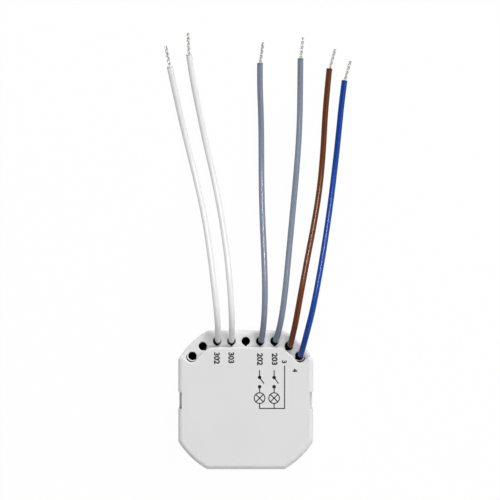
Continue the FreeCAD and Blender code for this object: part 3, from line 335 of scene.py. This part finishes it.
# Looks of the plain surfaces and of the leads, under the names of their slots
SURFACES = {
    "tray_plastic": dict(colour=(0.71, 0.71, 0.71), roughness=0.50, mottle=HOUSING_MOTTLE,
                         cloud_size=HOUSING_CLOUD, grain=HOUSING_GRAIN),
    "tinned_copper": dict(colour=(0.60, 0.592, 0.575), roughness=0.25, metallic=1.0, mottle=0.08),
    "solder": dict(colour=(0.70, 0.70, 0.72), roughness=0.22, metallic=1.0, mottle=0.05,
                   cloud_size=0.8 * MM),
    "relay_case": dict(colour=(0.010, 0.010, 0.012), roughness=0.28, mottle=0.15, grain=0.08),
    "relay_moulding": dict(colour=(0.62, 0.58, 0.48), roughness=0.45, mottle=0.05, cloud_size=2 * MM),
    "soft_iron": dict(colour=(0.56, 0.55, 0.54), roughness=0.30, metallic=1.0, grain=0.3, stretch=BRUSHED),
    "contact_bronze": dict(colour=(0.70, 0.42, 0.22), roughness=0.28, metallic=1.0, grain=0.2,
                           stretch=BRUSHED),
    "film_box": dict(colour=(0.72, 0.46, 0.03), roughness=0.42, mottle=0.04, cloud_size=2 * MM),
    "varistor_coat": dict(colour=(0.012, 0.075, 0.30), roughness=0.30, mottle=0.12, cloud_size=1.5 * MM,
                          grain=0.3, grain_size=0.5 * MM, coat=0.3),
    "resistor_coat": dict(colour=(0.10, 0.17, 0.10), roughness=0.55, mottle=0.12, cloud_size=1 * MM,
                          grain=0.3),
    "black_moulding": dict(colour=(0.012, 0.012, 0.012), roughness=0.42, mottle=0.15, grain=0.2),
    "ferrite": dict(colour=(0.020, 0.020, 0.022), roughness=0.55, mottle=0.2, cloud_size=1 * MM,
                    grain=0.35),
    "tin_plate": dict(colour=(0.62, 0.62, 0.62), roughness=0.33, metallic=1.0, grain=0.2, stretch=BRUSHED),
    "gold_copper": dict(colour=(0.80, 0.52, 0.18), roughness=0.25, metallic=1.0, mottle=0.05),
    "chip_ceramic": dict(colour=(0.34, 0.23, 0.15), roughness=0.45, mottle=0.2, cloud_size=0.8 * MM),
}
INSULATION = {
    "white_insulation": dict(colour=(0.75, 0.75, 0.75), mottle=0.015),
    "grey_insulation": dict(colour=(0.180, 0.214, 0.278), mottle=0.04, specular=0.36),
    "brown_insulation": dict(colour=(0.118, 0.025, 0.0015), mottle=0.05),
    "blue_insulation": dict(colour=(0.0, 0.043, 0.285), mottle=0.05),
}
MATERIALS = {
    "cover_plastic": cover_finish("cover_plastic", colour=(0.745, 0.745, 0.745), roughness=0.50),
    "board_laminate": laminate_finish("board_laminate", mask=(0.004, 0.045, 0.012),
                                      pour=(0.010, 0.085, 0.024)),
    # The windings' darker gap colours are painted shade between the turns
    "copper_wire": wound_finish("copper_wire", colour=(0.62, 0.20, 0.07), gap_shade=(0.10, 0.025, 0.008),
                                roughness=0.25, pitch=0.14 * MM, metallic=1.0),
    "winding_tape": wound_finish("winding_tape", colour=(0.72, 0.50, 0.05), gap_shade=(0.45, 0.28, 0.02),
                                 roughness=0.30, pitch=1.6 * MM),
    "can_sleeve": sleeve_finish("can_sleeve", sleeve=(0.008, 0.009, 0.018), metal=(0.75, 0.75, 0.76)),
}
MATERIALS.update({name: surface(name, **look) for name, look in SURFACES.items()})
MATERIALS.update({name: insulation(name, **look) for name, look in INSULATION.items()})
PRINT_INK = surface("print_ink", colour=(0.018, 0.018, 0.019), roughness=0.60, mottle=0.12,
                    cloud_size=0.5 * MM, grain=0.05, specular=0.3)


# Leads

BOARD_FACE = 0.005
LEAD_RADIUS = 0.00105
# Height of the middle of a lead that lies on the surface
LAID = LEAD_RADIUS

# Each route repeats the frame's: offsets in X and Y from the lead's outlet, and the
# height. It stands on the board, leans through its outlet, bends over the rim, sinks to
# the surface and lies there to its stripped end.
ROUTES = {
    "white_lead_1": [
        (0.0, -0.0013, BOARD_FACE), (0.0002, -0.0006, 0.0095), (0.00025, 0.00015, 0.014),
        (0.00035, 0.00035, 0.0225), (0.0003, 0.0076, 0.0275), (-0.0008, 0.0175, 0.0261),
        (-0.0024, 0.0308, 0.0198), (-0.0045, 0.0438, 0.0132), (-0.00745, 0.0567, 0.0064),
        (-0.0107, 0.0695, 0.0016), (-0.013, 0.0789, LAID), (-0.015, 0.088, LAID),
        (-0.0169, 0.0966, LAID),
    ],
    "white_lead_2": [
        (0.0, -0.0013, BOARD_FACE), (0.0, -0.0006, 0.0095), (0.0, 0.00015, 0.014),
        (0.00005, 0.00035, 0.0225), (0.00025, 0.0077, 0.0273), (-0.0003, 0.0176, 0.0259),
        (-0.0015, 0.0304, 0.0196), (-0.0035, 0.0434, 0.013), (-0.006, 0.0564, 0.0064),
        (-0.0093, 0.0703, 0.0017), (-0.0117, 0.082, LAID), (-0.0137, 0.0915, LAID),
        (-0.0151, 0.1009, LAID),
    ],
    "grey_lead_1": [
        (-0.0002, -0.0013, BOARD_FACE), (0.0001, -0.0006, 0.0095), (0.00015, 0.00015, 0.014),
        (0.0005, 0.00035, 0.0225), (0.0014, 0.0075, 0.0274), (0.00175, 0.0174, 0.0261),
        (0.0014, 0.0302, 0.0198), (0.0008, 0.043, 0.0132), (0.0005, 0.0564, 0.0064),
        (0.0005, 0.0696, 0.0016), (0.00035, 0.0806, LAID), (-0.00005, 0.0895, LAID),
        (0.0, 0.0978, LAID),
    ],
    "grey_lead_2": [
        (-0.0003, -0.0013, BOARD_FACE), (0.0001, -0.0006, 0.0095), (0.0002, 0.00015, 0.014),
        (0.0006, 0.00035, 0.0225), (0.00235, 0.0074, 0.0273), (0.0037, 0.0172, 0.0262),
        (0.00495, 0.0299, 0.0209), (0.0062, 0.0427, 0.0163), (0.00745, 0.0557, 0.0121),
        (0.0086, 0.0693, 0.0073), (0.0091, 0.081, 0.003), (0.0092, 0.0903, 0.0013),
        (0.0093, 0.0994, LAID),
    ],
    "brown_lead": [
        (-0.0003, -0.0013, BOARD_FACE), (0.0001, -0.0006, 0.0095), (0.0002, 0.00015, 0.014),
        (0.00055, 0.00035, 0.0225), (0.00215, 0.0075, 0.0275), (0.0039, 0.0171, 0.026),
        (0.0064, 0.0303, 0.0196), (0.009, 0.043, 0.013), (0.01115, 0.056, 0.0063),
        (0.01235, 0.0692, 0.0016), (0.0129, 0.0798, LAID), (0.0136, 0.0887, LAID),
        (0.0145, 0.0976, LAID),
    ],
    "blue_lead": [
        (-0.0004, -0.0013, BOARD_FACE), (0.0, -0.0006, 0.0095), (0.00015, 0.00015, 0.014),
        (0.00055, 0.00035, 0.0225), (0.00235, 0.0074, 0.0276), (0.0048, 0.0169, 0.0263),
        (0.00735, 0.0299, 0.02), (0.00955, 0.0428, 0.0135), (0.0115, 0.056, 0.007),
        (0.01325, 0.07, 0.0018), (0.0143, 0.0799, LAID), (0.0151, 0.0883, LAID), (0.0162, 0.0968, LAID),
    ],
}
# Middles of the outlets in X and Y
OUTLETS = {
    "white_lead_1": (-0.010, 0.0206), "white_lead_2": (-0.005, 0.0206), "grey_lead_1": (0.005, 0.0206),
    "grey_lead_2": (0.010, 0.0206), "brown_lead": (0.015, 0.01884), "blue_lead": (0.01865, 0.01544),
}
# Lengths from the outlet to the end of the insulation
STRIPPED = 0.0075
CONDUCTOR_RADIUS = 0.00055

# Smoothness of the leads' curves
CURVE_ORDER = 3
CURVE_STEPS = 16
BEVEL_STEPS = 6

# Stripped end: twisted plies, whose flutes show the strands and turn the other way. A lay
# is the length of one turn. The plies start inside the insulation and end unevenly.
PLIES = 3
PLY_LAY = 0.0052
PLY_SIDES = 24
PLY_STEPS = 48
PLY_START = -0.0006
PLY_SHORTFALL = 0.0004
PLY_RADIUS = CONDUCTOR_RADIUS / (1 + 2 / math.sqrt(3))
STRANDS_ROUND = 6
STRAND_LAY = -0.0048
FLUTE_DEEP = 0.07
FLUTE_TWIST = 2 * math.pi * STRIPPED / PLY_STEPS / STRAND_LAY
# How far the tip of each stripped end leans to its right
TIP_LEAN = {
    "white_lead_1": 0.00025, "white_lead_2": 0.00075, "grey_lead_1": 0.00105, "grey_lead_2": 0.0008,
    "brown_lead": 0.0014, "blue_lead": 0.0012,
}

# Cut end of the insulation, as a closed row of rings: how far past the tip, and the radius
RIM_SIDES = 40
RIM_RINGS = [
    (-0.0005, LEAD_RADIUS * 1.004), (-0.00012, LEAD_RADIUS * 1.004), (-0.00003, LEAD_RADIUS * 0.97),
    (0.00002, LEAD_RADIUS * 0.90), (0.00002, CONDUCTOR_RADIUS * 1.25), (-0.0002, CONDUCTOR_RADIUS * 1.02),
]


def lead_curve(name, points):
    """Smooth open NURBS curve with the route's points as its control points."""
    curve = bpy.data.curves.new(name, "CURVE")
    curve.dimensions = "3D"
    curve.resolution_u = CURVE_STEPS
    spline = curve.splines.new("NURBS")
    spline.points.add(len(points) - 1)
    for point, place in zip(spline.points, points):
        point.co = (*place, 1.0)
    spline.order_u = CURVE_ORDER
    spline.use_endpoint_u = True
    return curve


def centreline(name, curve):
    """Points along a curve that has no bevel yet."""
    probe = bpy.data.objects.new(name + "_probe", curve)
    mesh = bpy.data.meshes.new_from_object(probe)
    line = [vertex.co.copy() for vertex in mesh.vertices]
    bpy.data.objects.remove(probe)
    bpy.data.meshes.remove(mesh)
    return line


def right_and_up(along):
    """The two directions square to a lead's end."""
    across = along.cross(UP).normalized()
    return across, across.cross(along)


def ply_paths(tip, along, lean, seed):
    """Centrelines of the twisted plies of a stripped end, which lean to one side."""
    draw = random.Random(seed)
    across, above = right_and_up(along)
    ply_circle = CONDUCTOR_RADIUS - PLY_RADIUS
    start_turn = draw.uniform(0, 2 * math.pi)
    paths = []
    for ply in range(PLIES):
        path = []
        long = STRIPPED - draw.uniform(0.0, PLY_SHORTFALL)
        for step in range(PLY_STEPS + 1):
            share = step / PLY_STEPS
            reach = share * long + PLY_START * (1 - share)
            turn = start_turn + 2 * math.pi * (ply / PLIES + reach / PLY_LAY)
            ply_out = math.cos(turn) * across + math.sin(turn) * above
            path.append(tip + along * reach + ply_circle * ply_out + across * lean * share)
        paths.append(path)
    return paths


def ply_mesh(name, paths):
    """Closed tubes along the plies' centrelines, with twisted flutes."""
    vertices, faces = [], []
    for path in paths:
        first = len(vertices)
        across = (path[1] - path[0]).orthogonal()
        for number, point in enumerate(path):
            after, before = path[min(number + 1, len(path) - 1)], path[max(number - 1, 0)]
            along = (after - before).normalized()
            across = (across - along * across.dot(along)).normalized()
            other = along.cross(across)
            for side in range(PLY_SIDES):
                turn = 2 * math.pi * side / PLY_SIDES
                flute = math.cos(STRANDS_ROUND * (turn + FLUTE_TWIST * number)) - 1
                out = PLY_RADIUS * (1 + FLUTE_DEEP * flute)
                vertices.append(point + out * (math.cos(turn) * across + math.sin(turn) * other))
        for ring in range(len(path) - 1):
            faces += ring_of_faces(first + ring * PLY_SIDES, first + (ring + 1) * PLY_SIDES, PLY_SIDES)
        faces.append(tuple(first + side for side in reversed(range(PLY_SIDES))))
        faces.append(tuple(first + (len(path) - 1) * PLY_SIDES + side for side in range(PLY_SIDES)))
    return mesh_of(name, vertices, faces, smooth=True)


def rim_mesh(name, tip, along):
    """Cut end of the insulation: a rounded rim and a funnel down to the strands."""
    across, above = right_and_up(along)
    vertices, faces = [], []
    for reach, radius in RIM_RINGS:
        for side in range(RIM_SIDES):
            turn = 2 * math.pi * side / RIM_SIDES
            out = math.cos(turn) * across + math.sin(turn) * above
            vertices.append(tip + along * reach + radius * out)
    for ring in range(len(RIM_RINGS)):
        after = (ring + 1) % len(RIM_RINGS)
        faces += ring_of_faces(ring * RIM_SIDES, after * RIM_SIDES, RIM_SIDES)
    return mesh_of(name, vertices, faces, smooth=True)


def make_leads():
    for seed, (name, route) in enumerate(ROUTES.items(), 1):
        x, y = OUTLETS[name]
        points = [(x + dx, y + dy, height) for dx, dy, height in route]
        slot = name.split("_")[0] + "_insulation"
        curve = lead_curve(name + "_line", points)
        line = centreline(name, curve)
        tip, along = line[-1], (line[-1] - line[-2]).normalized()
        curve.bevel_depth = LEAD_RADIUS
        curve.bevel_resolution = BEVEL_STEPS
        curve.use_fill_caps = True
        lead = add_piece(name + "_insulation", curve, MATERIALS[slot])
        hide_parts(name)
        plies = ply_mesh(name + "_strands", ply_paths(tip, along, TIP_LEAN[name], seed))
        strands = add_piece(name + "_strands", plies, MATERIALS["tinned_copper"])
        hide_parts(name + "_end")
        rim = add_piece(name + "_cut", rim_mesh(name + "_cut", tip, along), MATERIALS[slot])


make_leads()


# Print on the face

INK_THICK = 0.02 * MM
INK_HEIGHTS = (FACE_HIGH - INK_THICK / 2, FACE_HIGH + INK_THICK / 2)

# The rest of the print is in millimetres: plain numbers beside the outlets and a small
# wiring diagram of two switches with their lamps.
LINE_WIDE = 0.37
ROUND_STEPS = 32
CAP_STEPS = ROUND_STEPS // 4
# How much thicker the digits are than the font's, and how deep they are before scaling
DIGIT_WEIGHT = 0.04
DIGIT_DEEP = 0.5
NUMBERS = [
    # Digits, middle X and Y, height of the digits and length of the number
    ("302", -10.06, 14.71, 2.05, 4.1), ("303", -5.05, 14.87, 2.05, 3.8),
    ("202", 4.95, 14.38, 2.05, 4.3), ("203", 10.05, 14.42, 2.05, 4.2),
    ("3", 13.40, 13.47, 1.75, 1.05), ("4", 17.14, 10.47, 1.75, 1.25),
]
SWITCH_COLUMNS = (4.82, 9.87)
FEED_X = 13.52
FEED_TOP = 12.03
RAIL_Y = -2.76
STUB_TOP = 10.43
PIVOT_Y = 8.03
ARM_ACROSS = 1.43
ARM_Y = 6.01
CONTACT_Y = 4.79
DOT_RADIUS = 0.63
LAMP_Y = 0.82
LAMP_RADIUS = 1.85


def raised(outline):
    """Closed thin solid over an outline on the face, given in millimetres."""
    count = len(outline)
    vertices = [(x * MM, y * MM, z) for z in INK_HEIGHTS for x, y in outline]
    faces = [tuple(reversed(range(count))), tuple(range(count, 2 * count))]
    return vertices, faces + ring_of_faces(0, count, count)


def stroke(start, end):
    """Straight line with round ends."""
    aim = math.atan2(end[1] - start[1], end[0] - start[0])
    outline = []
    for (x, y), first in ((end, aim - math.pi / 2), (start, aim + math.pi / 2)):
        for step in range(CAP_STEPS + 1):
            turn = first + math.pi * step / CAP_STEPS
            outline.append((x + LINE_WIDE / 2 * math.cos(turn), y + LINE_WIDE / 2 * math.sin(turn)))
    return raised(outline)


def circle_points(x, y, radius):
    turns = [2 * math.pi * step / ROUND_STEPS for step in range(ROUND_STEPS)]
    return [(x + radius * math.cos(turn), y + radius * math.sin(turn)) for turn in turns]


def dot(x, y):
    return raised(circle_points(x, y, DOT_RADIUS))


def ring(x, y, radius):
    """Closed thin ring of the line's width."""
    inner = circle_points(x, y, radius - LINE_WIDE / 2)
    outer = circle_points(x, y, radius + LINE_WIDE / 2)
    low, high = INK_HEIGHTS
    loops = [(inner, low), (outer, low), (outer, high), (inner, high)]
    vertices = [(px * MM, py * MM, z) for loop, z in loops for px, py in loop]
    faces = []
    for number in range(len(loops)):
        after = (number + 1) % len(loops)
        faces += ring_of_faces(number * ROUND_STEPS, after * ROUND_STEPS, ROUND_STEPS)
    return vertices, faces


def switch_and_lamp(x):
    """One column of the diagram: stub, open arm, contact, crossed lamp and the line to the rail."""
    half_cross = (LAMP_RADIUS - LINE_WIDE / 2) * math.sqrt(0.5)
    left, right = x - half_cross, x + half_cross
    return [
        stroke((x, STUB_TOP), (x, PIVOT_Y)),
        dot(x, PIVOT_Y),
        stroke((x, PIVOT_Y), (x + ARM_ACROSS, ARM_Y)),
        dot(x, CONTACT_Y),
        stroke((x, CONTACT_Y), (x, LAMP_Y + LAMP_RADIUS)),
        ring(x, LAMP_Y, LAMP_RADIUS),
        stroke((x, LAMP_Y - LAMP_RADIUS), (x, RAIL_Y)),
        stroke((left, LAMP_Y + half_cross), (right, LAMP_Y - half_cross)),
        stroke((left, LAMP_Y - half_cross), (right, LAMP_Y + half_cross)),
    ]


def make_diagram():
    shapes = [
        stroke((FEED_X, FEED_TOP), (FEED_X, RAIL_Y)),
        stroke((FEED_X, RAIL_Y), (SWITCH_COLUMNS[0], RAIL_Y)),
    ]
    for x in SWITCH_COLUMNS:
        shapes += switch_and_lamp(x)
    vertices, faces = [], []
    for shape_vertices, shape_faces in shapes:
        first = len(vertices)
        vertices += shape_vertices
        faces += [tuple(first + corner for corner in face) for face in shape_faces]
    add_piece("face_diagram", mesh_of("face_diagram", vertices, faces), PRINT_INK)


def make_numbers():
    """Numbers that read downwards, with the tops of their digits towards +X."""
    for number, (digits, x, y, tall, long) in enumerate(NUMBERS, 1):
        words = bpy.data.curves.new("number_text", "FONT")
        words.body = digits
        words.offset = DIGIT_WEIGHT
        words.extrude = DIGIT_DEEP
        probe = bpy.data.objects.new("number_probe", words)
        mesh = bpy.data.meshes.new_from_object(probe)
        mesh.name = f"face_number_{number}"
        bpy.data.objects.remove(probe)
        spans = []
        for axis in range(3):
            values = [vertex.co[axis] for vertex in mesh.vertices]
            spans.append((min(values), max(values)))
        for vertex in mesh.vertices:
            shares = [(value - low) / (high - low) - 0.5 for value, (low, high) in zip(vertex.co, spans)]
            along, above, out = shares
            vertex.co = ((x + above * tall) * MM, (y - along * long) * MM, FACE_HIGH + out * INK_THICK)
        add_piece(f"face_number_{number}", mesh, PRINT_INK)


make_diagram()
make_numbers()


# Every other node of the frame keeps its shape and gets its material

SLOTS = {row["node"]: row["material_slot"] for row in frame["record"]["subparts"]}
for node_name, node in nodes.items():
    node.data.materials.clear()
    node.data.materials.append(MATERIALS[SLOTS[node_name]])


# Floor, light and background

BACKGROUND_RAYS = ("Is Camera Ray", "Is Glossy Ray", "Is Transmission Ray")
FLOOR_REACH = 3.0
FLOOR_DROP = 0.00005
FLOOR_COLOUR = (0.85, 0.85, 0.85)
FLOOR_ROUGHNESS = 0.9
# How much of the floor is plain white for the background's rays; the rest shows the shadow
FLOOR_WHITE_SHARE = 0.975
WALL_LIGHT = 0.42
CEILING_LIGHT = 0.10
# Upward share of a ray's direction where the fade from the walls to the ceiling starts and ends
CEILING_FADE = (0.55, 0.85)
LAMPS = [
    # Name, place, aim, width and height of the lamp, and its power in watts
    ("back", (0.30, 1.34, 0.97), (0, 0.06, 0), 0.45, 0.09, 16.5),
    ("side", (1.00, 0.20, 1.50), (0, 0.03, 0), 1.5, 1.5, 10.5),
    ("front", (0.10, -0.50, 1.60), (0, 0.03, 0), 1.6, 0.7, 4.7),
]


def background_share(tree):
    """Socket that is 1 for the rays that see the background as white, and 0 for others."""
    rays = tree.nodes.new("ShaderNodeLightPath")
    found = rays.outputs[BACKGROUND_RAYS[0]]
    for kind in BACKGROUND_RAYS[1:]:
        node = tree.nodes.new("ShaderNodeMath")
        node.operation = "MAXIMUM"
        tree.links.new(found, node.inputs[0])
        tree.links.new(rays.outputs[kind], node.inputs[1])
        found = node.outputs["Value"]
    return found


def floor_material():
    made = bpy.data.materials.new("floor_white")
    made.use_nodes = True
    tree = made.node_tree
    shader = tree.nodes["Principled BSDF"]
    shader.inputs["Base Color"].default_value = (*FLOOR_COLOUR, 1)
    shader.inputs["Roughness"].default_value = FLOOR_ROUGHNESS
    glow = tree.nodes.new("ShaderNodeEmission")
    share = tree.nodes.new("ShaderNodeMath")
    share.operation = "MULTIPLY"
    share.inputs[1].default_value = FLOOR_WHITE_SHARE
    tree.links.new(background_share(tree), share.inputs[0])
    mix = tree.nodes.new("ShaderNodeMixShader")
    tree.links.new(share.outputs["Value"], mix.inputs["Fac"])
    tree.links.new(shader.outputs["BSDF"], mix.inputs[1])
    tree.links.new(glow.outputs["Emission"], mix.inputs[2])
    tree.links.new(mix.outputs["Shader"], tree.nodes["Material Output"].inputs["Surface"])
    return made


def make_floor():
    reach = FLOOR_REACH
    corners = [(-reach, -reach, 0), (reach, -reach, 0), (reach, reach, 0), (-reach, reach, 0)]
    mesh = mesh_of("floor", corners, [(0, 1, 2, 3)])
    mesh.materials.append(floor_material())
    floor = add_object("floor", mesh)
    floor.location = (0, 0, -FLOOR_DROP)


def make_world():
    """Pale walls all round, which the background's rays see as white, under a dim ceiling."""
    world = bpy.data.worlds.new("studio")
    bpy.context.scene.world = world
    world.use_nodes = True
    tree = world.node_tree
    aim = tree.nodes.new("ShaderNodeTexCoord")
    split = tree.nodes.new("ShaderNodeSeparateXYZ")
    tree.links.new(aim.outputs["Generated"], split.inputs["Vector"])
    walls = tree.nodes.new("ShaderNodeMapRange")
    walls.inputs["To Min"].default_value = WALL_LIGHT
    walls.inputs["To Max"].default_value = 1.0
    tree.links.new(background_share(tree), walls.inputs["Value"])
    fade = tree.nodes.new("ShaderNodeMapRange")
    fade.inputs["From Min"].default_value = CEILING_FADE[0]
    fade.inputs["From Max"].default_value = CEILING_FADE[1]
    fade.inputs["To Max"].default_value = CEILING_LIGHT
    tree.links.new(split.outputs["Z"], fade.inputs["Value"])
    tree.links.new(walls.outputs["Result"], fade.inputs["To Min"])
    back = tree.nodes["Background"]
    back.inputs["Color"].default_value = (1, 1, 1, 1)
    tree.links.new(fade.outputs["Result"], back.inputs["Strength"])


def softbox(name, place, aim, wide, tall, power):
    lamp = bpy.data.lights.new(name, "AREA")
    lamp.shape = "RECTANGLE"
    lamp.size, lamp.size_y = wide, tall
    lamp.energy = power
    made = add_object(name, lamp)
    made.location = place
    made.rotation_euler = (Vector(aim) - Vector(place)).to_track_quat("-Z", "Y").to_euler()


make_floor()
make_world()
for lamp_row in LAMPS:
    softbox(*lamp_row)
bpy.context.scene.view_settings.view_transform = "Standard"
